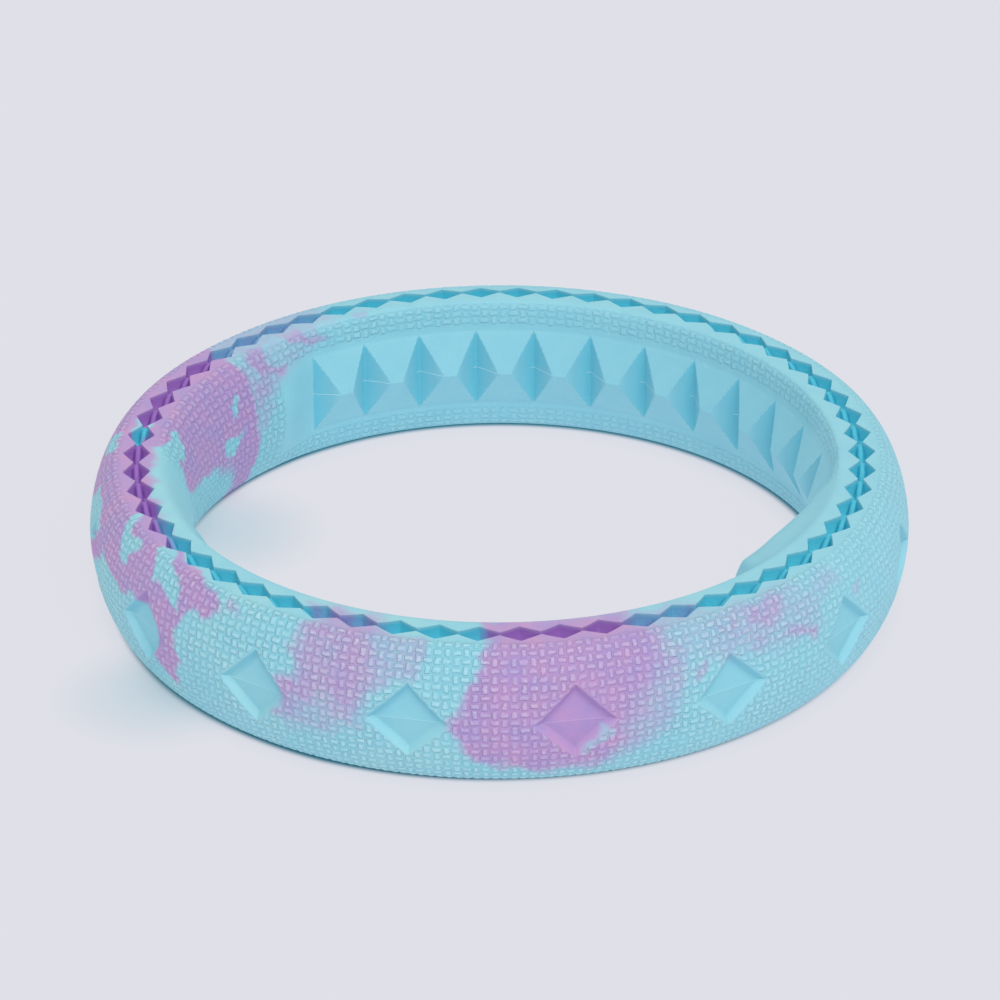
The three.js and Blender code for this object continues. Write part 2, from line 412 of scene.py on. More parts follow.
def crown_rows():
    """Rows from the outer edge of the land to the inner one, as offset from the pit circle and
    depth below the land: over the land, down the wall, and up the web to its flat top."""
    width, depth, web = pit_shape()
    flat = np.zeros(COLUMNS)
    foot = width - PIT_DRAFT * depth
    web_foot = np.minimum(WEB_HALF_WIDTH + PIT_DRAFT * (depth - web), WEB_FOOT_SHARE * foot)
    web_edge = np.minimum(WEB_HALF_WIDTH - WEB_CHAMFER, WEB_TOP_SHARE * web_foot)
    half = [(LAND_HALF_WIDTH + (width - LAND_HALF_WIDTH) * k, flat) for k in LAND_STEPS]
    half += [(width + (foot - width) * k, depth * k) for k in WALL_STEPS]
    half += [(web_edge + (web_foot - web_edge) * k, web + (depth - web) * m) for k, m in WEB_STEPS]
    half += [(flat, web)]
    mirrored = [(-offset, down) for offset, down in half[-2::-1]]
    return half + mirrored


print(f"{len(crown_rows())} rows over the crown")

# %% [markdown]
# ## The weave
# The mould was cut to look like coarse cloth. In a plain weave each cell of the grid shows one
# thread, lying along the ring in one cell and across it in the next, like a chessboard. A
# thread is rounded across and dips at its ends, where the next one crosses over it. The broad
# form of the threads goes into the mesh, so that the outline is bumpy too, and the material
# adds their crisp edges. The cloth is drawn fainter at the right and round the back, and it is
# left out in the pockets, in the band of teeth and along the crown.

# %% Where the weave lies, and its relief
THREAD_ACROSS = 2.9  # mm, from one thread to the next over the section
THREAD_SPREAD = 0.72
THREAD_DIP = 0.8
OUTER_CELLS = 276
INNER_CELLS = 210
WEAVE_RELIEF = 0.2  # mm
WEAVE_LEVEL = 0.6  # the height that stays where the smooth wall is
# Where the cloth starts and is full, in mm from the crown's middle
WEAVE_EDGES = {"outer": (5.0, 7.4), "inner": (6.8, 9.6), "inner left": (5.2, 7.4)}
POCKET_FADE = (-0.7, 0.1)
FAINTNESS = 0.25
# Stretches in degrees from the front: start, full, fade, end
INNER_LEFT_TURNS = (222, 234, 262, 270)
FAINT_OUTER_TURNS = (40, 60, 130, 150)
FAINT_INNER_TURNS = (60, 80, 180, 200)
FAINT_BACK_TURNS = (125, 150)
BAND_TOP = 17.7  # mm from the crown's middle to the smooth band with the teeth
BAND_FADE = 0.4
BAND_END = (TOOTH_PITCH - 1.5, TOOTH_PITCH + 0.5)  # degrees past the last valley
SMOOTH_SHOULDERS = ((47, 82), (270, 303))
SHOULDER_FADE = 3


def inner_woven(amount, angle, distance):
    """The cloth's amount on the inner wall, cut back by the band of teeth and smooth shoulders."""
    turn = angle % 360
    left = smooth(distance, *WEAVE_EDGES["inner left"])
    amount = amount + (left - amount) * hump(turn, *INNER_LEFT_TURNS)
    amount = amount * (1 - FAINTNESS * smooth(np.abs(half_turn(angle)), *FAINT_BACK_TURNS))
    amount = amount * (1 - FAINTNESS * hump(turn, *FAINT_INNER_TURNS))
    band = smooth(distance, BAND_TOP - BAND_FADE, BAND_TOP + BAND_FADE)
    amount = amount * (1 - band * (1 - smooth(nearest_window(angle), *BAND_END)))
    fade = SHOULDER_FADE
    for start, end in SMOOTH_SHOULDERS:
        amount = amount * (1 - hump(turn, start - fade, start + fade, end - fade, end + fade))
    return amount


def woven_amount(angle, distance, outside):
    """1 where the cloth texture is, 0 where the foam is smooth."""
    side = "outer" if outside else "inner"
    amount = np.full(COLUMNS, smooth(distance, *WEAVE_EDGES[side]))
    if not outside:
        return inner_woven(amount, angle, distance)
    amount = amount * (1 - FAINTNESS * hump(angle % 360, *FAINT_OUTER_TURNS))
    return amount * (1 - smooth(pocket_inside(distance), *POCKET_FADE))


def weave_height(cell_along, cell_across):
    """Height of the cloth, from 0 to 1. In a cell, the thread's height is a cosine over its
    width, less towards its ends; even cells have it along the ring, odd ones across it."""
    along = cell_along % 1 - 0.5
    across = cell_across % 1 - 0.5
    odd = (np.floor(cell_along) + np.floor(cell_across)) % 2 == 1
    over, side = np.where(odd, across, along), np.where(odd, along, across)
    thread = np.cos(np.pi * np.clip(np.abs(side) / THREAD_SPREAD, 0, 0.5))
    return thread * (1 - THREAD_DIP * over**2)


cell_length = 2 * math.pi * OUTER_RADIUS / OUTER_CELLS
print(f"cloth cells {cell_length:.1f} x {THREAD_ACROSS} mm outside")

# %% [markdown]
# ## Marbling
# The two foams are laid in the mould as flakes. Their edges are crisp in places and bleed in
# others. Each flake is written down as an outline with a few corners, in degrees round the ring
# and millimetres from the crown, with how soft its edge is, at its least and at its greatest
# angle, and how strong its colour. Smooth random waves move the outlines, so that they wander as
# real foam does, and the mesh keeps each point's share of lilac. The material adds fine specks.

# %% Flakes of lilac foam, and islands of blue in them
DEGREE = math.radians(1) * PIT_CIRCLE
# Each row: softness in mm at its least and its greatest angle, strength, corners
FLAKES = (
    # front flake: crisp at its left, bleeding at its right
    ((2.2, 6.0), 1.0, (
        (-3.4, -9), (-1.4, 3), (-1.9, 9), (-3.2, 16), (-4.5, 25), (-6.5, 35), (-6.0, 43),
        (-3.3, 48), (2, 53.5), (9, 54.5), (15, 52), (17, 40), (19.5, 28), (22.5, 21), (23.2, 8),
        (20, -1), (21, -9))),
    ((5.0, 4.0), 0.5, (
        (17, 14), (25.5, 13), (25.2, 30), (23, 42), (18, 49), (13, 53), (14, 44), (17, 32))),
    # second flake, and the pale veil on its right
    ((3.0, 6.0), 0.78, (
        (-31, -4), (-26.5, 3), (-28.6, 9), (-29.3, 16), (-28.5, 25), (-31.2, 30), (-30.4, 36),
        (-31.6, 42), (-29.4, 41), (-28, 35), (-26, 31), (-20, 29), (-17.8, 24), (-17.5, 8),
        (-19, -4))),
    ((3.5, 1.8), 0.42, (
        (-22, 3), (-10.6, 5), (-10.2, 19), (-14, 21), (-17.5, 27), (-20, 38), (-24, 36))),
    ((4.0, 4.0), 0.38, ((-30, 26), (-18, 25), (-19, 37), (-22, 43), (-30, 46))),
    # veils and spots at the right
    ((7.0, 7.0), 0.3, ((24, 4), (36, 8), (36, 18), (24, 20))),
    ((3.0, 3.0), 0.6, ((37.2, 9), (42.5, 8), (43, 14), (39.5, 18), (37, 15))),
    ((2.0, 2.0), 0.6, ((41.6, 21.5), (44.5, 21), (48.2, 25), (47.6, 27.4), (44, 25))),
    ((1.6, 1.6), 0.55, ((26.6, 22.8), (29.2, 22.6), (28.6, 26.4), (27, 26.2))),
    ((2.0, 2.0), 0.35, ((36.4, 19), (38.4, 19), (38, 25), (36.6, 24))),
    ((3.5, 3.5), 0.28, ((50, 10), (55.5, 10), (55, 16), (50.5, 16))),
    ((6.0, 6.0), 0.3, ((33, 6), (45, 6), (50, 14), (49, 27), (38, 25), (30, 20))),
    ((1.4, 1.4), 0.4, ((57.4, 20), (58.8, 20), (58.6, 24), (57.8, 24))),
    # the big flake at the left, over the crown and down both walls
    ((1.6, 1.4), 1.0, (
        (-126.2, -70), (-126.2, -4), (-127.5, 4), (-131, 14), (-129, 26), (-120, 37), (-112, 40),
        (-104, 52), (-96, 66), (-88.3, 60), (-90.4, 51.5), (-88, 47), (-81.7, 40.3), (-77.6, 34.6),
        (-72.4, 25.6), (-67.8, 27.8), (-64.9, 29), (-60.3, 26.8), (-57.9, 27.8), (-55, 30.3),
        (-54.2, 36.5), (-55, 43), (-53.9, 47), (-52, 49.5), (-50.5, 49), (-49.5, 41.5),
        (-49.5, 26.5), (-48.7, 20.9), (-45.8, 18.4), (-42.6, 15.9), (-42.6, 11.5), (-44, 9),
        (-46.6, 7.6), (-49.5, 4.6), (-58, 1.5), (-60, -2), (-66, -4.5), (-76, -6.5), (-90, -8.5),
        (-91, -13), (-90, -27), (-97, -30), (-104, -33), (-111, -36), (-114, -70))),
    ((1.2, 1.2), 0.45, ((-41.6, 9), (-39, 9), (-39, 12.6), (-41.4, 13))),
    # pale veils on the crown
    ((4.0, 4.0), 0.4, ((19, -5), (31, -4), (31, 5), (19, 6))),
    ((7.0, 3.0), 0.4, ((-150, -5), (-126, -6), (-126, 11), (-148, 9))),
    # veil at the end of the big flake in the hole, and streaks beyond it
    ((3.0, 3.0), 0.35, ((-133, -8), (-125, -9), (-124, -34), (-129, -34), (-133, -22))),
    ((1.4, 1.4), 0.65, (
        (-142, -5.4), (-139, -6), (-139.6, -10.8), (-144.6, -15), (-147, -14), (-143, -10))),
    ((1.4, 1.4), 0.75, (
        (-133, -5.6), (-130.6, -6.6), (-128.6, -11), (-129.6, -15), (-135.6, -19.4), (-136.8, -17),
        (-132.6, -13))),
    ((4.0, 4.0), 0.25, ((-146, -5), (-129, -5), (-129, -22), (-138, -20), (-147, -13))),
    ((2.0, 2.0), 0.4, ((-131, -17), (-127, -18), (-127, -25), (-131, -24))),
    ((1.0, 1.0), 0.35, ((-156, -4.5), (-153.5, -4), (-152.5, -8), (-155, -9))),
    # flakes on sides that no view has shown: the back, the far right and the underside
    ((0.8, 5.0), 0.9, (
        (-172, 62), (-171, 40), (-168, 27), (-163, 20), (-157, 26), (-155, 38), (-157, 52),
        (-162, 64))),
    ((5.0, 0.8), 0.8, (
        (128, 66), (131, 48), (129, 36), (135, 24), (143, 17), (149, 26), (148, 42), (151, 60))),
    ((3.0, 3.0), 0.45, ((112, 18), (120, 14), (124, 24), (118, 34), (111, 30))),
    ((1.5, 4.0), 0.8, ((58, 72), (62, 65), (71, 62), (79, 66), (84, 74), (80, 84), (66, 86))),
)
WANDER_LENGTHS = (3, 16)  # mm
WANDER_WAVES = 9
WANDER_SHARE = 0.038
ISLAND_GROWTH = 0.5  # mm
# Each row: softness in mm, strength, corners
ISLANDS = (
    (1.2, 0.55, ((14.2, 37.4), (15, 38.4), (12, 46.6), (10.8, 46.8))),
    (1.0, 1, (
        (-70.6, 3), (-68.9, 4.4), (-67.5, 9.6), (-66, 10.9), (-63.2, 10.3), (-62.9, 12.8),
        (-64, 16.5), (-64.9, 18.8), (-66.6, 17.8), (-68.4, 14), (-69.5, 8.4))),
    (1.0, 1, (
        (-58.8, 4), (-56.8, 5.3), (-55, 9.6), (-51.9, 9.3), (-50.7, 12.8), (-50.3, 19), (-51.6, 19),
        (-55, 15.9), (-57.1, 15.3), (-57.7, 10.3))),
    (1.2, 1, (
        (-84.6, 16.5), (-81.1, 15.3), (-78.5, 17.8), (-77, 22.1), (-78.2, 25.3), (-81.1, 29),
        (-83.4, 32.8), (-86.3, 37.8), (-89.2, 42), (-95, 45.3), (-98, 44), (-96, 38), (-92.1, 32.8),
        (-89.2, 25.9), (-86.3, 20.3))),
    (0.8, 1, ((-96, 7), (-91.5, 9), (-93, 13), (-97, 14))),
    (1.0, 1, ((-100, -1.5), (-96.5, -0.5), (-97.5, 2.5), (-101, 3))),
    (0.7, 1, ((-122.5, -18.6), (-120, -19.6), (-119.6, -22.4), (-121.5, -21.6))),
    (1.0, 1, (
        (-121.4, -30), (-118, -31), (-115, -29.6), (-114.2, -34), (-116.5, -37), (-119, -34.4))),
    (0.8, 1, ((-100, -12), (-96, -9.5), (-92, -8), (-92, -15), (-95, -17.5), (-99, -16))),
    (2.5, 1, (
        (-92, -7), (-84, -5.8), (-70, -3.4), (-58, 0.5), (-56, -40), (-90, -40), (-93, -32),
        (-90.5, -23), (-93.5, -14))),
    (4.0, 1, ((-112, -38), (-92, -32), (-88, -72), (-122, -72), (-118, -44))),
)


print(f"{len(FLAKES)} flakes and {len(ISLANDS)} islands")

# %% [markdown]
# A point's share of lilac comes from its distance to each outline, in millimetres. A soft edge
# is a slow step in that distance and a crisp edge a quick one, so one function serves for both.


# %% Share of lilac at a point
def edge_distance(angle, distance, outline):
    """Signed distance to a polygon, in millimetres and above zero inside. The least distance to
    any side gives the size, and a count of the sides crossed by a level ray gives the sign."""
    x = angle * DEGREE
    corners = np.array(outline, float) * (DEGREE, 1)
    nearest = np.full(x.shape, np.inf)
    inside = np.zeros(x.shape, bool)
    for (ax, ay), (bx, by) in zip(corners, np.roll(corners, -1, axis=0)):
        dx, dy = bx - ax, by - ay
        share = np.clip(((x - ax) * dx + (distance - ay) * dy) / (dx * dx + dy * dy), 0, 1)
        nearest = np.minimum(nearest, np.hypot(x - ax - share * dx, distance - ay - share * dy))
        if dy:
            crosses = (ay > distance) != (by > distance)
            inside ^= crosses & (x < ax + dx * (distance - ay) / dy)
    return np.where(inside, nearest, -nearest)


def wander(x, y, seed):
    """Smooth random shift in millimetres: a sum of nine plane waves, 3 to 16 mm long, each in its
    own direction and as high as a share of its length."""
    rng = np.random.default_rng(seed)
    total = np.zeros(x.shape)
    for length in np.geomspace(*WANDER_LENGTHS, WANDER_WAVES):
        way, phase = rng.uniform(0, 2 * math.pi, 2)
        travelled = x * math.cos(way) + y * math.sin(way)
        total += WANDER_SHARE * length * np.sin(2 * math.pi / length * travelled + phase)
    return total


def step_inside(inside, softness):
    """1 well inside an edge, 0 well outside it, and an S-shaped step across its softness."""
    return smooth(inside / softness, -1, 1)


def marbling(angle, distance):
    """Share of lilac foam at each point. Flakes cover one another like thin paint, so the blue
    that is left is the product of what each one leaves, and islands are cut out last."""
    turn = half_turn(angle)
    x = turn * DEGREE
    turn = turn + wander(x, distance, 1) / DEGREE
    moved = distance + wander(x, distance, 2)
    left = np.ones(turn.shape)
    for (first, last), strength, outline in FLAKES:
        angles = [corner[0] for corner in outline]
        softness = first + (last - first) * smooth(turn, min(angles), max(angles))
        inside = edge_distance(turn, moved, outline)
        left = left * (1 - strength * step_inside(inside, softness))
    lilac = 1 - left
    for softness, strength, outline in ISLANDS:
        inside = edge_distance(turn, moved, outline) + ISLAND_GROWTH
        lilac = lilac * (1 - strength * step_inside(inside, softness))
    return lilac


lilac_on_crown = marbling(crown_angle, np.full(COLUMNS, LAND_HALF_WIDTH)).mean()
print(f"{lilac_on_crown:.0%} of the crown's outer edge is lilac")

# %% [markdown]
# ## One half of the ring
# All rows are stacked from the outer equator over the crown to the inner equator. The lower
# half is the same grid with its heights turned over. Its colours and weave go on from where the
# upper half's end, so nothing shows at the joint. Each point also keeps an amount of painted
# shade, from 0 to 1 at a pit's floor, and the material deepens the colour with it. Teeth, pockets
# and the wall of the hole get a little painted shade too, because less light reaches them.

# %% One row of each kind
TOP_ROWS = 26
POCKET_ROWS = POCKET_HALF_COLUMNS
INNER_TOP_ROWS = 25
# Amounts of painted shade: on the web's top, down the flanks of the teeth, on the hole's wall, on a
# pocket's floor and along a pocket's upper edge
WEB_SHADE = 0.25
FLANK_SHADE = 0.14
INNER_SHADE = 0.03
POCKET_SHADE = 0.04
POCKET_EDGE_SHADE = 0.08
POCKET_EDGE = (0, 0.6, 0.6, 4)  # mm inside the edge: start, full, fade, end
POCKET_FLOOR = (0.5 * DRAFT_WIDTH, 1.5 * DRAFT_WIDTH)  # mm inside the edge
BELOW_LAND = (LAND_HALF_WIDTH - 1, 2 * LAND_HALF_WIDTH)  # mm from the crown's middle
SLID_ABOVE_TEETH = 2
LIT_PAD = (PAD["start"] - 8, PAD["start"], PAD["end"] + 12, PAD["end"] + 24)  # degrees
POCKET_ZONE = EQUATOR_DISTANCE - POCKET_HALF_HEIGHT
tooth_distance = np.interp(-TOOTH_HALF_HEIGHT, -curve_height, curve_distance)


def row_distances():
    """Distances of the outer rows from the equator up, and of the inner rows from the land down:
    even steps in the pocket's zone, and even steps of height in the teeth's zone."""
    outer = np.concatenate([
        np.linspace(EQUATOR_DISTANCE, POCKET_ZONE, POCKET_ROWS + 1),
        np.linspace(POCKET_ZONE, LAND_HALF_WIDTH, TOP_ROWS + 1)[1:-1],
    ])
    heights = np.linspace(TOOTH_HALF_HEIGHT, 0, FLANK_COLUMNS + 1)
    inner = np.concatenate([
        np.linspace(LAND_HALF_WIDTH, tooth_distance, INNER_TOP_ROWS + 1)[1:-1],
        np.interp(-heights, -curve_height, curve_distance),
    ])
    return outer, inner


def outer_row(distance, lower):
    """A row of the outer wall. Its painted shade is a step at a pocket's floor and, on the upper
    half alone, a hump along a pocket's edge."""
    share = smooth(distance, LAND_HALF_WIDTH, POCKET_ZONE)
    angle = crown_angle + pocket_slide * share
    inside = pocket_inside(distance)
    shade = POCKET_SHADE * smooth(inside, *POCKET_FLOOR)
    shade = shade + (0 if lower else POCKET_EDGE_SHADE * hump(inside, *POCKET_EDGE))
    height = height_at(distance) - crown_lean(angle, 1 - share)
    return angle, outer_radius(distance), height, distance, True, shade


def crown_row(offset, depth):
    """A row over the crown. Its painted shade follows its depth, but is no more than a light shade
    on the web.
    """
    height = EQUATOR - depth - crown_lean(crown_angle, offset / LAND_HALF_WIDTH)
    on_web = np.abs(offset) < 2 * WEB_HALF_WIDTH
    painted_shade = np.where(on_web, np.minimum(depth / PIT_DEPTH, WEB_SHADE), depth / PIT_DEPTH)
    return crown_angle, PIT_CIRCLE + offset, height, np.abs(offset), offset[0] >= 0, painted_shade


def inner_row(distance):
    """A row of the inner wall. Its painted shade is light, except on the pad, which faces the
    light, and there is more of it down the flanks of the teeth."""
    share = smooth(distance, LAND_HALF_WIDTH, tooth_distance - SLID_ABOVE_TEETH)
    angle = crown_angle + (inner_angle - crown_angle) * share
    shade = INNER_SHADE * smooth(distance, *BELOW_LAND) * (1 - hump(angle % 360, *LIT_PAD))
    shade = shade + FLANK_SHADE * flank_depth(angle, distance)
    return angle, inner_radius(angle, distance), height_at(distance), distance, False, shade


print("rows down the outer and the inner wall:", [len(part) for part in row_distances()])

# %% [markdown]
# A row gives one value of each kind for every column. Stacked, they make arrays of the same
# size, and each column and row number is one point of the mesh.


# %% Stack the rows
def half_grid(lower):
    """Angle, radius, height, distance and the painted values at every point of one half."""
    outer, inner = row_distances()
    rows = [outer_row(distance, lower) for distance in outer]
    rows += [crown_row(offset, depth) for offset, depth in crown_rows()]
    rows += [inner_row(distance) for distance in inner]
    grid = {name: [] for name in ("angle", "radius", "height", "distance", "woven", "painted_shade")}
    for angle, radius, height, distance, outside, painted_shade in rows:
        seen = np.broadcast_to(distance, angle.shape)
        travelled = 2 * EQUATOR_DISTANCE - seen if lower else seen
        grid["angle"].append(angle)
        grid["radius"].append(radius)
        grid["height"].append(np.broadcast_to(height, angle.shape))
        grid["distance"].append(travelled if outside else -travelled)
        grid["woven"].append(woven_amount(angle, float(np.mean(seen)), outside))
        grid["painted_shade"].append(np.broadcast_to(painted_shade, angle.shape))
    grid = {name: np.array(values, float) for name, values in grid.items()}
    if lower:
        grid["height"] = -grid["height"]
    return grid


upper_grid = half_grid(lower=False)
lower_grid = half_grid(lower=True)
print("grid of", upper_grid["angle"].shape[0], "rows by", COLUMNS, "columns")

# %% [markdown]
# The threads' relief moves each point along the wall's own normal. On a grid the normal is the
# cross product of the steps to the next column and to the next row.


# %% Raise the weave and place the points
def cells(grid):
    """Weave cells along and across at each point. The hole's wall is shorter, so it has fewer."""
    count = np.where(grid["distance"] >= 0, OUTER_CELLS, INNER_CELLS)
    return grid["angle"] / 360 * count, grid["distance"] / THREAD_ACROSS


def points_of(grid):
    """Points in millimetres: round the ring by the angle, out by the radius, up by the height,
    then moved along the normal by the weave's relief."""
    turn = np.radians(grid["angle"])
    points = np.stack([
        grid["radius"] * np.sin(turn),
        -grid["radius"] * np.cos(turn),
        EQUATOR + grid["height"],
    ], axis=-1)
    along = np.roll(points, -1, axis=1) - np.roll(points, 1, axis=1)
    up = np.gradient(points, axis=0)
    normal = np.cross(along, up)
    normal /= np.linalg.norm(normal, axis=-1, keepdims=True)
    outward = np.sign(np.sum(normal[0, 0] * (math.sin(turn[0, 0]), -math.cos(turn[0, 0]), 0)))
    lift = WEAVE_RELIEF * grid["woven"] * (weave_height(*cells(grid)) - WEAVE_LEVEL)
    return points + outward * normal * lift[..., None]


raised = weave_height(*cells(upper_grid))
print(f"thread heights {raised.min():.2f} to {raised.max():.2f}, times {WEAVE_RELIEF} mm")

# %% [markdown]
# The grid becomes a mesh of triangles. Each square is cut along one of its two diagonals, and
# at pockets and teeth the diagonal has to lie along the edge of the diamond. The last row and
# the first are joined by the flat face of the joint, so each half is a closed solid.


# %% Triangles from the grid
def diagonals(grid):
    """True where a square is cut from its next column's first row to its own next row. The rule
    is the side of the nearest pocket's or valley's middle that the square lies on."""
    rows = grid["angle"].shape[0]
    pocket_side = (column - first_pocket_column) % COLUMNS_PER_POCKET < COLUMNS_PER_POCKET / 2
    middle = inner_angle + STEP / 2
    tooth_side = np.zeros(COLUMNS, bool)
    for window in WINDOWS:
        for valley in valley_angles(window):
            past = half_turn(middle - valley)
            tooth_side |= (past > 0) & (past < TOOTH_PITCH / 2)
    split = np.zeros((rows, COLUMNS), bool)
    split[:rows // 2] = pocket_side
    split[rows // 2:] = ~tooth_side
    return split


def triangles_of(grid):
    """Corner numbers of all triangles, two to a square, with all of them facing the same side."""
    rows = grid["angle"].shape[0]
    row, col = np.meshgrid(np.arange(rows), np.arange(COLUMNS), indexing="ij")
    next_row, next_col = (row + 1) % rows, (col + 1) % COLUMNS
    a, b = row * COLUMNS + col, row * COLUMNS + next_col
    c, d = next_row * COLUMNS + next_col, next_row * COLUMNS + col
    split = diagonals(grid)[..., None, None]
    one = np.stack([np.stack([a, b, d], -1), np.stack([b, c, d], -1)], axis=2)
    other = np.stack([np.stack([a, b, c], -1), np.stack([a, c, d], -1)], axis=2)
    return np.where(split, one, other).reshape(-1, 3)


print(len(triangles_of(upper_grid)), "triangles to a half")

# %% [markdown]
# A mesh this large is filled from arrays, because adding its faces one by one would take far
# longer. Faces have to point outwards, and a solid's volume tells: it comes out below zero if
# they point in.


# %% Mesh from arrays
def signed_volume(points, triangles):
    """Six times the volume: each triangle adds the volume of the slanted box that its corners
    span with the origin. Above zero if the faces point out."""
    a, b, c = (points[triangles[:, k]] for k in range(3))
    return np.einsum("ij,ij->i", a, np.cross(b, c)).sum()


def make_mesh(name, points, triangles):
    """A mesh object from arrays: points in millimetres and triangles, turned to face out."""
    if signed_volume(points, triangles) < 0:
        triangles = triangles[:, ::-1]
    mesh = bpy.data.meshes.new(name)
    mesh.vertices.add(len(points))
    mesh.vertices.foreach_set("co", (points * MM).astype(np.float32).ravel())
    mesh.loops.add(triangles.size)
    mesh.loops.foreach_set("vertex_index", triangles.astype(np.int32).ravel())
    mesh.polygons.add(len(triangles))
    mesh.polygons.foreach_set("loop_start", np.arange(0, triangles.size, 3, dtype=np.int32))
    mesh.polygons.foreach_set("use_smooth", np.ones(len(triangles), bool))
    mesh.update(calc_edges=True)
    mesh.validate()
    piece = bpy.data.objects.new(name, mesh)
    bpy.context.scene.collection.objects.link(piece)
    return piece, triangles


cube_corner = np.eye(3), np.array([[0, 1, 2]])
print(f"the corner of a cube holds {signed_volume(*cube_corner) / 6:.3f} of it")

# %% [markdown]
# The mesh also keeps what the material needs at each point: the share of lilac, the weave and
# the amount of painted shade, and a map of the wall on which to draw the threads. The rim of the
# joint's face is marked sharp, to keep that face's shading off the wall.


# %% The two halves and what they keep
def keep_values(piece, values):
    """Stores one number for each point under each name, for the material to read."""
    for name, numbers in values.items():
        attribute = piece.data.attributes.new(name, "FLOAT", "POINT")
        attribute.data.foreach_set("value", np.asarray(numbers, np.float32).ravel())


def keep_wall_map(piece, triangles, grid):
    """UV map: degrees round the ring and millimetres from the crown. Triangles that cross the
    first column count on past a full turn."""
    u, v = grid["angle"].ravel()[triangles], grid["distance"].ravel()[triangles]
    u = np.where((u.max(axis=1, keepdims=True) - u) > 180, u + 360, u)
    uv = piece.data.uv_layers.new(name="wall")
    uv.data.foreach_set("uv", np.stack([u, v], -1).astype(np.float32).ravel())


def sharpen_joint(piece, rows):
    """Marks the edges of the joint's flat face sharp: those along the first and the last row."""
    mesh = piece.data
    ends = np.empty(len(mesh.edges) * 2, np.int32)
    mesh.edges.foreach_get("vertices", ends)
    row = ends.reshape(-1, 2) // COLUMNS
    rim = (row[:, 0] == row[:, 1]) & ((row[:, 0] == 0) | (row[:, 0] == rows - 1))
    sharp = mesh.attributes.new("sharp_edge", "BOOLEAN", "EDGE")
    sharp.data.foreach_set("value", rim)


def half_ring(name, grid):
    """One half of the ring as a closed mesh, with its painted values and its wall map."""
    points = points_of(grid).reshape(-1, 3)
    piece, triangles = make_mesh(name, points, triangles_of(grid))
    keep_values(piece, {
        "lilac": marbling(grid["angle"], grid["distance"]),
        "woven": grid["woven"], "painted_shade": grid["painted_shade"],
    })
    keep_wall_map(piece, triangles, grid)
    sharpen_joint(piece, grid["angle"].shape[0])
    print(name, len(piece.data.polygons), "triangles")
    return piece


upper_half = half_ring("foam_upper_half", upper_grid)
lower_half = half_ring("foam_lower_half", lower_grid)

# %% [markdown]
# ## The bond line
# Where the halves meet, a pale line shows in the floors of the pockets and, across the back,
# on one flank of each tooth. It is a thin washer between the halves. Its rims stand 0.07 mm
# proud where the line shows, and stay 0.6 mm inside the foam elsewhere.

# %% Bond line
BOND_HALF_THICKNESS = 0.15
BOND_PROUD = 0.07
BOND_SUNK = -0.6
BOND_BEVEL = 0.1
BOND_PAST_VALLEY = 0.18  # share of the other flank on which the line goes on
# Painted highlight on the bond line: how much paler it is drawn outside and on the teeth
HIGHLIGHT_OUTSIDE = 0.08
HIGHLIGHT_INSIDE = 0.4


def bond_rims():
    """Radius of the washer's outer and inner rims at each column."""
    shows_outside = pocket_inside(EQUATOR_DISTANCE) > DRAFT_WIDTH
    shows_inside = np.zeros(COLUMNS, bool)
    for valley in valley_angles(WINDOWS[0]):
        past = half_turn(inner_angle - valley)
        shows_inside |= (past > -FLANK_SPAN) & (past < FLANK_SPAN * BOND_PAST_VALLEY)
    outer_rim = outer_radius(EQUATOR_DISTANCE) + np.where(shows_outside, BOND_PROUD, BOND_SUNK)
    inner_wall = inner_radius(inner_angle, EQUATOR_DISTANCE)
    return outer_rim, inner_wall - np.where(shows_inside, BOND_PROUD, BOND_SUNK)


def bond_line():
    """A closed washer: a rounded rim of three rows outside and in, joined by two flat faces."""
    outer_rim, inner_rim = bond_rims()
    bevel = BOND_BEVEL * np.array([1, 0, 1])[:, None]
    level = np.array([-1, 0, 1, 1, 0, -1])[:, None]
    outward = np.array([1, 1, 1, -1, -1, -1])[:, None]
    grid = {
        "angle": np.array([crown_angle + pocket_slide] * 3 + [inner_angle] * 3),
        "radius": np.concatenate([outer_rim - bevel, inner_rim + bevel]),
        "height": BOND_HALF_THICKNESS * level * np.ones(COLUMNS),
        "distance": EQUATOR_DISTANCE * outward * np.ones(COLUMNS),
        "woven": np.zeros((6, COLUMNS)),
    }
    points = points_of(grid).reshape(-1, 3)
    piece = make_mesh("bond_line_bead", points, triangles_of(grid))[0]
    joint_highlight = np.where(grid["distance"] > 0, HIGHLIGHT_OUTSIDE, HIGHLIGHT_INSIDE)
    keep_values(piece, {"lilac": marbling(grid["angle"], grid["distance"]), "joint_highlight": joint_highlight})
    print("bond line", len(piece.data.polygons), "triangles")
    return piece


bead = bond_line()

# %% [markdown]
# ## Materials
# Colours are written as the hex values that a paint chart gives, and one function turns them to
# the linear numbers that Blender mixes. One helper adds any node with its settings and links.


# %% A colour, and a node
def linear(code):
    """sRGB hex to linear RGBA: a straight part near black, and a power of 2.4 above it."""
    parts = np.array([int(code[k:k + 2], 16) for k in (1, 3, 5)]) / 255
    parts = np.where(parts <= 0.04045, parts / 12.92, ((parts + 0.055) / 1.055) ** 2.4)
    return (*parts.tolist(), 1.0)


def add(tree, kind, feeds=None, **settings):
    """Adds a node, gives it its settings, and feeds its sockets: a socket is linked, and anything
    else becomes the socket's value."""
    node = tree.nodes.new(kind)
    for name, value in settings.items():
        setattr(node, name, value)
    for socket, value in (feeds or {}).items():
        if isinstance(value, bpy.types.NodeSocket):
            tree.links.new(value, node.inputs[socket])
        else:
            node.inputs[socket].default_value = value
    return node


print(f"middle grey #808080 is {linear('#808080')[0]:.3f} in linear light")

# %% [markdown]
# A node tree reads best as a formula. So the steps that come up often have short names, and
# each gives back the socket that holds its result.

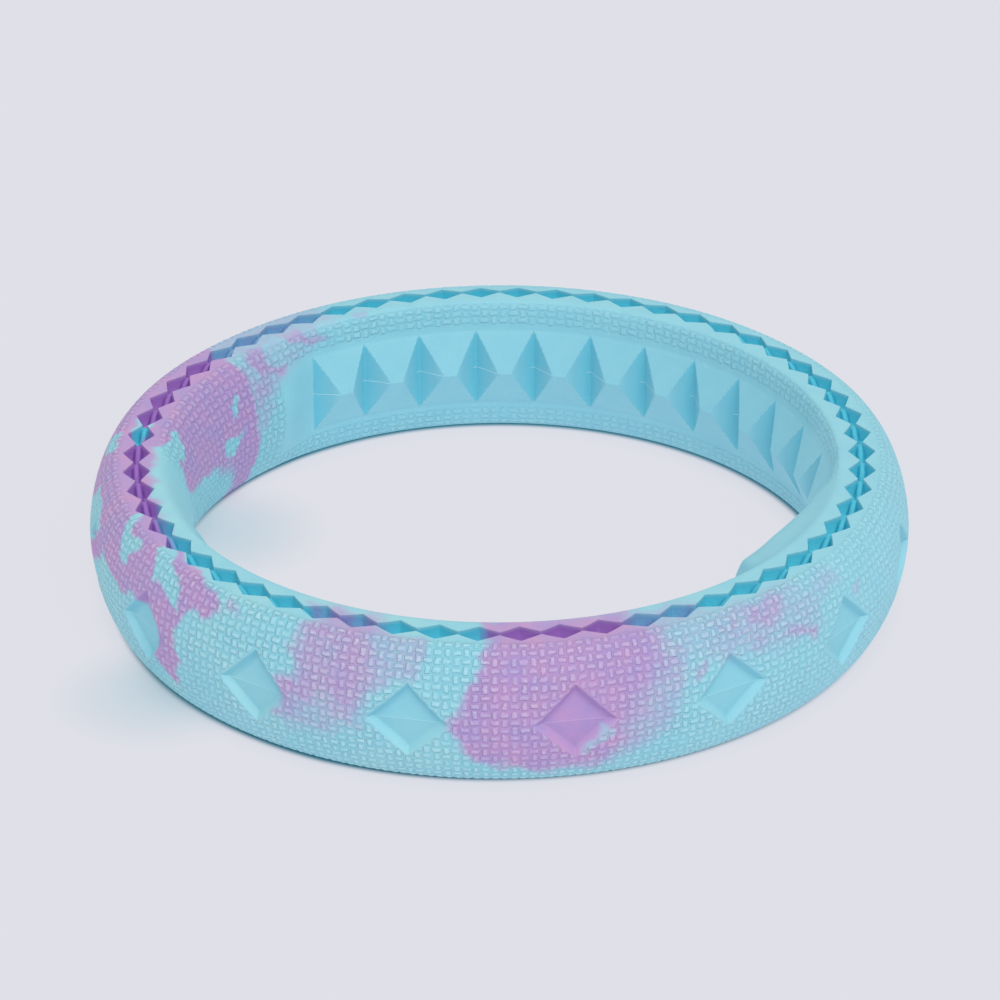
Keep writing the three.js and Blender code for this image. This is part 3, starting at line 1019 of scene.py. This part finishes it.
# %% Steps of a node tree
NOISE_ROUGHNESS = 0.55


def mixed(tree, share, first, second):
    """The colour between two colours at a share."""
    node = add(tree, "ShaderNodeMix", {0: share, 6: first, 7: second}, data_type="RGBA")
    return node.outputs[2]


def between(tree, share, first, second):
    """The number between two numbers at a share."""
    return add(tree, "ShaderNodeMix", {0: share, 2: first, 3: second}).outputs[0]


def calculated(tree, operation, *values, clamp=False):
    """One step of arithmetic on numbers or sockets."""
    feeds = dict(enumerate(values))
    return add(tree, "ShaderNodeMath", feeds, operation=operation, use_clamp=clamp).outputs[0]


def product(tree, *values):
    """All the values multiplied, from the last to the first."""
    *others, total = values
    for value in reversed(others):
        total = calculated(tree, "MULTIPLY", value, total)
    return total


def measured(tree, operation, *vectors):
    """One number from vectors: a length, a distance, or how far one reaches along another."""
    feeds = dict(enumerate(vectors))
    return add(tree, "ShaderNodeVectorMath", feeds, operation=operation).outputs["Value"]


def ramp(tree, value, start, end, low=0.0, high=1.0, shape="LINEAR"):
    """Low up to start and high from end on, with a straight or an S-shaped change between them."""
    limits = {"From Min": start, "From Max": end, "To Min": low, "To Max": high}
    node = add(tree, "ShaderNodeMapRange", {"Value": value, **limits}, interpolation_type=shape)
    return node.outputs[0]


def painted(tree, name):
    """A number that the mesh keeps for each point."""
    return add(tree, "ShaderNodeAttribute", attribute_name=name).outputs["Fac"]


def object_place(tree):
    """Where a point lies on the object, in metres."""
    return add(tree, "ShaderNodeTexCoord").outputs["Object"]


def noise(tree, place, size_mm, detail=2.0, offset=0.0):
    """Noise with features of about one size, from 0 to 1 with 0.5 in the middle. More detail
    adds finer steps, and the offset moves the pattern, so that no two lie alike."""
    feeds = {0: place, 1: (offset, offset, offset)}
    moved = add(tree, "ShaderNodeVectorMath", feeds, operation="ADD").outputs[0]
    limits = {"Scale": 1 / (size_mm * MM), "Detail": detail, "Roughness": NOISE_ROUGHNESS}
    return add(tree, "ShaderNodeTexNoise", {"Vector": moved, **limits}).outputs["Fac"]


def new_material(name):
    """A material with its node tree and its shader."""
    material = bpy.data.materials.new(name)
    material.use_nodes = True
    return material, material.node_tree, material.node_tree.nodes["Principled BSDF"]


print("a feature of 2 mm is a noise scale of", round(1 / (2 * MM)))

# %% [markdown]
# ### Marbled closed-cell foam, moulded matt
# The toy is moulded EVA foam: a soft plastic full of tiny closed bubbles, with a matt skin
# from the mould. Its colour is in the foam, not on it. The skin scatters a little light back as
# a pale haze. Down in the pits the colour is painted deeper, as painted shade, and a pit's floor
# is painted brighter, as painted light that offsets the shade down there.
# The marbling is drawn from the share kept in the mesh, with specks of noise where the foams
# meet. At the front left, where the ring is worn, patches of the blue have a tint of mint.

# %% Marbled foam: colour
BLUE = linear("#8BCEE0")
BLUE_PALE = linear("#9BD9E5")
LILAC = linear("#B19AD2")
LILAC_PINK = linear("#C79BCB")
MINT = linear("#AEE0DC")
SPECK_SIZE = 2.2  # mm, a speck of one foam in the other
SPECK_STRENGTH = 3.0
BLUE_PATCH_SIZE = 9.0  # mm, a paler patch in the blue
PINK_PATCH_SIZE = 8.0  # mm, a pinker patch in the lilac
PINK_EDGES = (0.34, 0.68)
MINT_PATCH_SIZE = 26.0  # mm, a patch with a tint of mint
MINT_EDGES = (0.42, 0.66)
MINT_SHARE = 0.35
# The front left, where the blue has its mint tint and the threads get flecks of painted highlight
WORN_AND_HIGHLIGHT_SIDE = (-0.75, -0.66, 0)
WORN_AND_HIGHLIGHT_REACH = (-20 * MM, 100 * MM)


def lilac_share(tree, place):
    """How much lilac foam there is: the mesh's own share a, with specks of noise n that count
    most halfway between the two foams, as a + n * a * (1 - a)."""
    lilac = painted(tree, "lilac")
    specks = calculated(tree, "SUBTRACT", noise(tree, place, SPECK_SIZE, 3.0, offset=2.9), 0.5)
    halfway = product(tree, lilac, calculated(tree, "SUBTRACT", 1.0, lilac))
    swing = product(tree, specks, SPECK_STRENGTH)
    return calculated(tree, "MULTIPLY_ADD", swing, halfway, lilac, clamp=True)


def front_left(tree, place):
    """1 at the front left and 0 at the back and the right, by the distance towards that side."""
    return ramp(tree, measured(tree, "DOT_PRODUCT", place, WORN_AND_HIGHLIGHT_SIDE), *WORN_AND_HIGHLIGHT_REACH)


def foam_colour(tree, place):
    """The foam's colour: blue that varies in soft patches, lilac that varies towards pink, mixed
    by the marbling."""
    patches = noise(tree, place, BLUE_PATCH_SIZE, 3.0, offset=0.3)
    mint = ramp(tree, noise(tree, place, MINT_PATCH_SIZE, offset=5.2), *MINT_EDGES, high=MINT_SHARE)
    tint = product(tree, mint, front_left(tree, place))
    blue = mixed(tree, tint, mixed(tree, patches, BLUE, BLUE_PALE), MINT)
    pinks = ramp(tree, noise(tree, place, PINK_PATCH_SIZE, 5.0, offset=1.7), *PINK_EDGES)
    return mixed(tree, lilac_share(tree, place), blue, mixed(tree, pinks, LILAC, LILAC_PINK))


print(f"specks {SPECK_SIZE} mm, paler patches {BLUE_PATCH_SIZE} mm, mint {MINT_PATCH_SIZE} mm")

# %% [markdown]
# The weave's crisp form is drawn from the wall map, in cells of the same size as the relief in
# the mesh: 276 cells round the outside, where a cell is 3.2 mm long, 210 round the hole, and
# 2.9 mm across. Each cell holds one thread about 1.7 mm wide. The threads are lower in patches
# where they are worn down, and slow noise makes them waver, because real ones aren't even.

# %% Marbled foam: threads
THREAD_WOBBLE = 0.5
THREAD_WOBBLE_SIZE = 2.2  # mm, the length over which a thread wavers
THREAD_SIDE = (0.4, 0.16)  # shares of a cell from its middle: where a thread ends and is full
THREAD_END = (0.58, 0.36)
WEAR_SIZE = 7.0  # mm, a patch where the threads are worn down
WEAR_EDGES = (0.35, 0.65)
WORN_HEIGHT = 0.55


def weave_cells(tree, place):
    """Place along and across in cells of the weave, from the wall map, with a little wobble."""
    wall = add(tree, "ShaderNodeUVMap", uv_map="wall").outputs[0]
    split = add(tree, "ShaderNodeSeparateXYZ", {0: wall})
    outside = calculated(tree, "GREATER_THAN", split.outputs[1], 0.0)
    extra, fewest = (OUTER_CELLS - INNER_CELLS) / 360, INNER_CELLS / 360
    count = calculated(tree, "MULTIPLY_ADD", outside, extra, fewest)
    counted = []
    for k, (scale, offset) in enumerate(((count, 8.1), (1 / THREAD_ACROSS, 9.7))):
        wobble = noise(tree, place, THREAD_WOBBLE_SIZE, offset=offset)
        shift = calculated(tree, "MULTIPLY_ADD", wobble, THREAD_WOBBLE, -THREAD_WOBBLE / 2)
        counted.append(calculated(tree, "MULTIPLY_ADD", split.outputs[k], scale, shift))
    return counted


def weave_relief(tree, place):
    """Height of the threads, from 0 to 1: a rounded step over the thread's width times a fall
    towards its ends, with the two directions swapped in every other cell."""
    numbers, from_middle = [], []
    for cell in weave_cells(tree, place):
        numbers.append(calculated(tree, "FLOOR", cell))
        within = calculated(tree, "SUBTRACT", calculated(tree, "FRACT", cell), 0.5)
        from_middle.append(calculated(tree, "ABSOLUTE", within))
    odd = calculated(tree, "FLOORED_MODULO", calculated(tree, "ADD", *numbers), 2.0)
    over = between(tree, odd, *from_middle)
    side = between(tree, odd, *reversed(from_middle))
    across = ramp(tree, side, *THREAD_SIDE, shape="SMOOTHSTEP")
    ends = ramp(tree, over, *THREAD_END, shape="SMOOTHSTEP")
    wear = ramp(tree, noise(tree, place, WEAR_SIZE, offset=6.3), *WEAR_EDGES, low=WORN_HEIGHT)
    thread = product(tree, product(tree, across, ends), wear)
    return product(tree, thread, painted(tree, "woven"))


thread_width = sum(THREAD_SIDE) * (THREAD_ACROSS + cell_length) / 2
print(f"threads about {thread_width:.1f} mm wide")

# %% [markdown]
# The finish puts the two together. Threads get a painted highlight, a little paler than the
# foam, and the grooves between them painted shade, a little deeper. Pale flecks, 0.9 mm wide,
# lie on the threads at the front left as painted highlights. A grain of 0.7 mm is the foam's
# skin, drawn coarser than the real bubbles so that it shows.

# %% Marbled foam: finish
# Painted highlight on the threads' tops, and on the flecks at the front left
THREAD_HIGHLIGHT = linear("#DCF0F6")
# Painted shade in the grooves between threads and in shallow recesses
GROOVE_SHADE = {"blue": linear("#66B9CE"), "lilac": linear("#967ABC")}
# Painted shade on a pit's walls: deeper and more saturated than the foam
PIT_WALL_SHADE = {"blue": linear("#50C5DC"), "lilac": linear("#A06FC4")}
# Painted light at a pit's floor: brighter, to offset the shade down there
PIT_FLOOR_LIGHT = {"blue": linear("#6EE0F0"), "lilac": linear("#C090DC")}
THREAD_HIGHLIGHT_SHARE = 0.13
GROOVE_SHADE_SHARE = 0.32
FLECK_SIZE = 0.9  # mm, a fleck of painted highlight on a thread
FLECK_EDGES = (0.56, 0.72)
FLECK_SHARE = 0.45
# Levels of painted shade at which the colour reaches the grooves' shade and a pit wall's shade
SHADE_RECESS = 0.08
SHADE_SHARE = 0.6
PIT_WALL_SHADE_LEVEL = 0.25
GRAIN_SIZE = 0.7  # mm, the grain of the skin
GRAIN_HEIGHT = 0.32
THREAD_HEIGHT = 0.45 * MM
FOAM_ROUGHNESS = 0.55
EVA_INDEX = 1.48


def threaded_colour(tree, place, relief, groove_shade):
    """The foam's colour, with a painted highlight on the threads, painted shade between them, and
    flecks of painted highlight at the front left.
    """
    gap = calculated(tree, "SUBTRACT", painted(tree, "woven"), relief)
    highlighted = product(tree, relief, THREAD_HIGHLIGHT_SHARE)
    colour = mixed(tree, highlighted, foam_colour(tree, place), THREAD_HIGHLIGHT)
    colour = mixed(tree, product(tree, gap, GROOVE_SHADE_SHARE), colour, groove_shade)
    # Flecks of painted highlight on the threads, at the front left only
    flecks = ramp(tree, noise(tree, place, FLECK_SIZE, offset=7.7), *FLECK_EDGES, high=FLECK_SHARE)
    fleck_highlight = product(tree, flecks, relief, front_left(tree, place))
    return mixed(tree, fleck_highlight, colour, THREAD_HIGHLIGHT)


def shaded_colour(tree, colour, groove_shade, wall, floor):
    """The colour with its painted shade: as that grows, first towards the grooves' painted shade,
    then to the painted shade of a pit's wall, and on to the painted light of a pit's floor."""
    painted_shade = painted(tree, "painted_shade")
    in_shade = ramp(tree, painted_shade, 0.0, SHADE_RECESS, high=SHADE_SHARE)
    in_wall = ramp(tree, painted_shade, SHADE_RECESS, PIT_WALL_SHADE_LEVEL)
    in_floor = ramp(tree, painted_shade, PIT_WALL_SHADE_LEVEL, 1.0)
    colour = mixed(tree, in_wall, mixed(tree, in_shade, colour, groove_shade), wall)
    return mixed(tree, in_floor, colour, floor)


def finish_skin(tree, shader, colour, roughness):
    """Gives the shader its colour, its roughness and the refractive index of EVA."""
    tree.links.new(colour, shader.inputs["Base Color"])
    shader.inputs["Roughness"].default_value = roughness
    shader.inputs["IOR"].default_value = EVA_INDEX


def marbled_foam():
    """Moulded EVA foam: refractive index 1.48, matt skin, no metal."""
    material, tree, shader = new_material("moulded_eva_foam_marbled")
    place = object_place(tree)
    share = lilac_share(tree, place)
    # Painted shade for grooves and pit walls, and painted light for pit floors, blue or lilac by
    # the marbling
    groove_shade, wall, floor = (
        mixed(tree, share, pair["blue"], pair["lilac"]) for pair in (GROOVE_SHADE, PIT_WALL_SHADE, PIT_FLOOR_LIGHT)
    )
    relief = weave_relief(tree, place)
    colour = threaded_colour(tree, place, relief, groove_shade)
    finish_skin(tree, shader, shaded_colour(tree, colour, groove_shade, wall, floor), FOAM_ROUGHNESS)
    grain = noise(tree, place, GRAIN_SIZE, offset=4.1)
    height = calculated(tree, "MULTIPLY_ADD", grain, GRAIN_HEIGHT, relief)
    feeds = {"Height": height, "Distance": THREAD_HEIGHT, "Strength": 1.0}
    bump = add(tree, "ShaderNodeBump", feeds)
    tree.links.new(bump.outputs[0], shader.inputs["Normal"])
    return material


foam = marbled_foam()
for half in (upper_half, lower_half):
    half.data.materials.append(foam)
print("marbled foam:", len(foam.node_tree.nodes), "nodes")

# %% [markdown]
# ### Smooth foam at the joint
# The joint is the same foam with the same marbling, with a smooth skin and no weave. Its ridge is
# real, and it is drawn a little paler as a painted highlight along that ridge.

# %% Joint skin
JOINT_HIGHLIGHT = linear("#E6F6FA")
JOINT_ROUGHNESS = 0.5


def bond_skin():
    """The foam's colour with the painted highlight that the bead's mesh keeps, and a smoother skin.
    """
    material, tree, shader = new_material("moulded_eva_foam_joint_skin")
    colour = foam_colour(tree, object_place(tree))
    # Painted highlight: the joint's colour turns paler by the kept share
    highlighted = mixed(tree, painted(tree, "joint_highlight"), colour, JOINT_HIGHLIGHT)
    finish_skin(tree, shader, highlighted, JOINT_ROUGHNESS)
    return material


bead.data.materials.append(bond_skin())
print("materials:", [material.name for material in bpy.data.materials])

# %% [markdown]
# ## Fit the pieces to the frame
# Each piece rides on the ring's one body and stands for its node of the imported model. Both
# halves are solid foam.

# %% Ride and replace
for piece, node, slot in (
    (upper_half, "upper_ring_half", "marbled_foam"),
    (lower_half, "lower_ring_half", "marbled_foam"),
    (bead, "bond_line", "bond_line"),
):
    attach(piece, "root")
    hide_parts(node)
    print(piece.name, "stands for", node)

# %% [markdown]
# ## Floor
# The ring lies on a pale sheet of translucent acrylic that is also lit from below, as on a
# product table. That keeps its underside bright, and leaves only a small shadow where it
# touches, with a painted shadow of dark teal, tinted by the foam, along its foot. Two wide faint
# patches of painted blue-green shadow lie at the left. The ring's own shadow doesn't reach that
# far, so they are painted by dimming and tinting the light from below.
# At the front right the real ring stands a little clear of the sheet, so there the light comes
# 1.5 mm closer to the middle of its foot.

# %% Floor
FLOOR_HALF_SIZE = 6.0
FLOOR_COLOUR = linear("#E0E0E8")
CONTACT_START = 7.7 * MM
CONTACT_END = 11.5 * MM
# Painted shadow along the ring's foot: a dark teal, as if tinted by the foam
CONTACT_SHADOW_COLOUR = linear("#548E9C")
CONTACT_SHARE = 0.8
OPEN_SHARE = 0.15
OPEN_END = 20 * MM
RAISED_SIDE = (1, -1, 0)
RAISED_FROM = 60 * MM
RAISED_TO = 140 * MM
RAISED_SHIFT = 1.5 * MM
# Patches of painted shadow on the floor at the left, and their tint
PAINTED_SHADOW_SPOTS = ((-96, 34, 40, 0.5), (-116, -78, 38, 0.5))  # mm across and back, reach, depth
PAINTED_SHADOW_COLOUR = linear("#9CCAD0")
UNSEEN_SHARE = 0.85
UNSEEN_STRENGTH = 1.3


def clear_share(tree, flat):
    """1 on clear floor and less in the patches of painted shadow: each patch fades out with the
    distance from its middle, and what the patches leave is multiplied."""
    clear = 1.0
    for x, y, reach, depth in PAINTED_SHADOW_SPOTS:
        apart = measured(tree, "DISTANCE", flat, (x * MM, y * MM, 0))
        spot = ramp(tree, apart, 0.0, reach * MM, low=1 - depth, shape="SMOOTHSTEP")
        clear = product(tree, clear, spot)
    return clear


def looked_at(tree):
    """1 for rays from the camera, also by way of a reflection or through something, else 0."""
    light_path = add(tree, "ShaderNodeLightPath")
    rays = [light_path.outputs[f"Is {kind} Ray"] for kind in ("Camera", "Glossy", "Transmission")]
    return calculated(tree, "MAXIMUM", calculated(tree, "MAXIMUM", *rays[:2]), rays[2])


def floor_glow(tree):
    """How near a point is to open floor, how clear it is of the patches of painted shadow, and the
    share and the strength of the light from below. For the camera the share grows with the distance
    from the circle on which the ring lies, so that the shadow stays near the ring. For other rays
    it is even round the ring's foot, and under the foot there is none."""
    feeds = {0: object_place(tree), 1: (1, 1, 0)}
    flat = add(tree, "ShaderNodeVectorMath", feeds, operation="MULTIPLY").outputs[0]
    past = calculated(tree, "SUBTRACT", measured(tree, "LENGTH", flat), PIT_CIRCLE * MM)
    away = calculated(tree, "ABSOLUTE", past)
    uncovered = ramp(tree, away, LAND_HALF_WIDTH * MM, CONTACT_START, high=UNSEEN_SHARE)
    toward = measured(tree, "DOT_PRODUCT", flat, RAISED_SIDE)
    raised = ramp(tree, toward, RAISED_FROM, RAISED_TO, high=RAISED_SHIFT)
    away = calculated(tree, "ADD", away, raised)
    near = ramp(tree, away, CONTACT_START, CONTACT_END, shape="SMOOTHSTEP")
    far = ramp(tree, away, CONTACT_START, OPEN_END, high=OPEN_SHARE, shape="SMOOTHSTEP")
    clear = clear_share(tree, flat)
    seen = product(tree, calculated(tree, "MULTIPLY_ADD", near, CONTACT_SHARE, far), clear)
    looks = looked_at(tree)
    share = between(tree, looks, uncovered, seen)
    return near, clear, share, between(tree, looks, UNSEEN_STRENGTH, 1.0)


def floor_piece():
    """A level square at the height that the ring lies on."""
    size = FLOOR_HALF_SIZE
    corners = [(-size, -size, 0), (size, -size, 0), (size, size, 0), (-size, size, 0)]
    mesh = bpy.data.meshes.new("studio_floor")
    mesh.from_pydata(corners, [], [(0, 1, 2, 3)])
    piece = bpy.data.objects.new("studio_floor", mesh)
    bpy.context.scene.collection.objects.link(piece)
    material, tree, shader = new_material("matt_studio_acrylic")
    shader.inputs["Roughness"].default_value = 1.0
    shader.inputs["Specular IOR Level"].default_value = 0.0
    near, clear, share, strength = floor_glow(tree)
    # Painted shadow: near the ring's foot the floor's colour turns to dark teal
    tree.links.new(mixed(tree, near, CONTACT_SHADOW_COLOUR, FLOOR_COLOUR), shader.inputs["Base Color"])
    # Painted shadow: the light from below is tinted and dimmed in the patches at the left
    glow = mixed(tree, clear, PAINTED_SHADOW_COLOUR, FLOOR_COLOUR)
    below = add(tree, "ShaderNodeEmission", {"Color": glow, "Strength": strength})
    both = add(tree, "ShaderNodeMixShader", {0: share, 1: shader.outputs[0], 2: below.outputs[0]})
    tree.links.new(both.outputs[0], tree.nodes["Material Output"].inputs["Surface"])
    mesh.materials.append(material)
    return piece


floor_piece()
print("floor", 2 * FLOOR_HALF_SIZE, "m wide")

# %% [markdown]
# ## Light
# The light is even from all round, and one broad weak lamp in front gives the relief its shape.
# Together they light the ring at about the strength at which a colour renders as it is written.

# %% Light
SKY_STRENGTH = 0.7
LAMP_STRENGTH = 1.15
LAMP_DIRECTION = Vector((0.25, -0.7, 1.0))
LAMP_SPREAD = math.radians(50)

world = bpy.data.worlds.new("soft_studio")
bpy.context.scene.world = world
world.use_nodes = True
sky = world.node_tree.nodes["Background"]
sky.inputs["Color"].default_value = linear("#FFFFFF")
sky.inputs["Strength"].default_value = SKY_STRENGTH

lamp = bpy.data.lights.new("soft_key", "SUN")
lamp.energy = LAMP_STRENGTH
lamp.angle = LAMP_SPREAD
lamp_object = bpy.data.objects.new("soft_key", lamp)
lamp_object.rotation_euler = LAMP_DIRECTION.to_track_quat("Z", "Y").to_euler()
bpy.context.scene.collection.objects.link(lamp_object)
print(f"sky {SKY_STRENGTH}, lamp {LAMP_STRENGTH}, {math.degrees(LAMP_SPREAD):.0f} degrees broad")

# %% [markdown]
# ## Camera
# The ring is seen from the front, from 28 degrees above the table and through a long lens. The
# distance, the lens and the shift of the picture were fitted to the ring's outlines and pits,
# so that the render lies over the photograph. The colours are shown as they are, without a
# film look.

# %% Camera
SENSOR = 36.0
LENS = 186.1
ELEVATION = math.radians(28.05)
ROLL = math.radians(-0.17)
AIM = Vector((0, 0, 0.0505))
CAMERA_DISTANCE = 1.761
SHIFT = (0.0008, -0.0494)

camera_data = bpy.data.cameras.new("camera")
camera_data.sensor_width = SENSOR
camera_data.lens = LENS
camera_data.shift_x, camera_data.shift_y = SHIFT
camera = bpy.data.objects.new("camera", camera_data)
bpy.context.scene.collection.objects.link(camera)
backward = Vector((0, -math.cos(ELEVATION), math.sin(ELEVATION)))
level_right = Vector((1, 0, 0))
level_up = backward.cross(level_right)
right = math.cos(ROLL) * level_right + math.sin(ROLL) * level_up
up = math.cos(ROLL) * level_up - math.sin(ROLL) * level_right
turned = Matrix((right, up, backward)).transposed().to_4x4()
camera.matrix_world = Matrix.Translation(AIM + CAMERA_DISTANCE * backward) @ turned
bpy.context.scene.camera = camera
bpy.context.scene.view_settings.view_transform = "Standard"
print(f"camera {CAMERA_DISTANCE:.2f} m away with a lens of {LENS} mm")
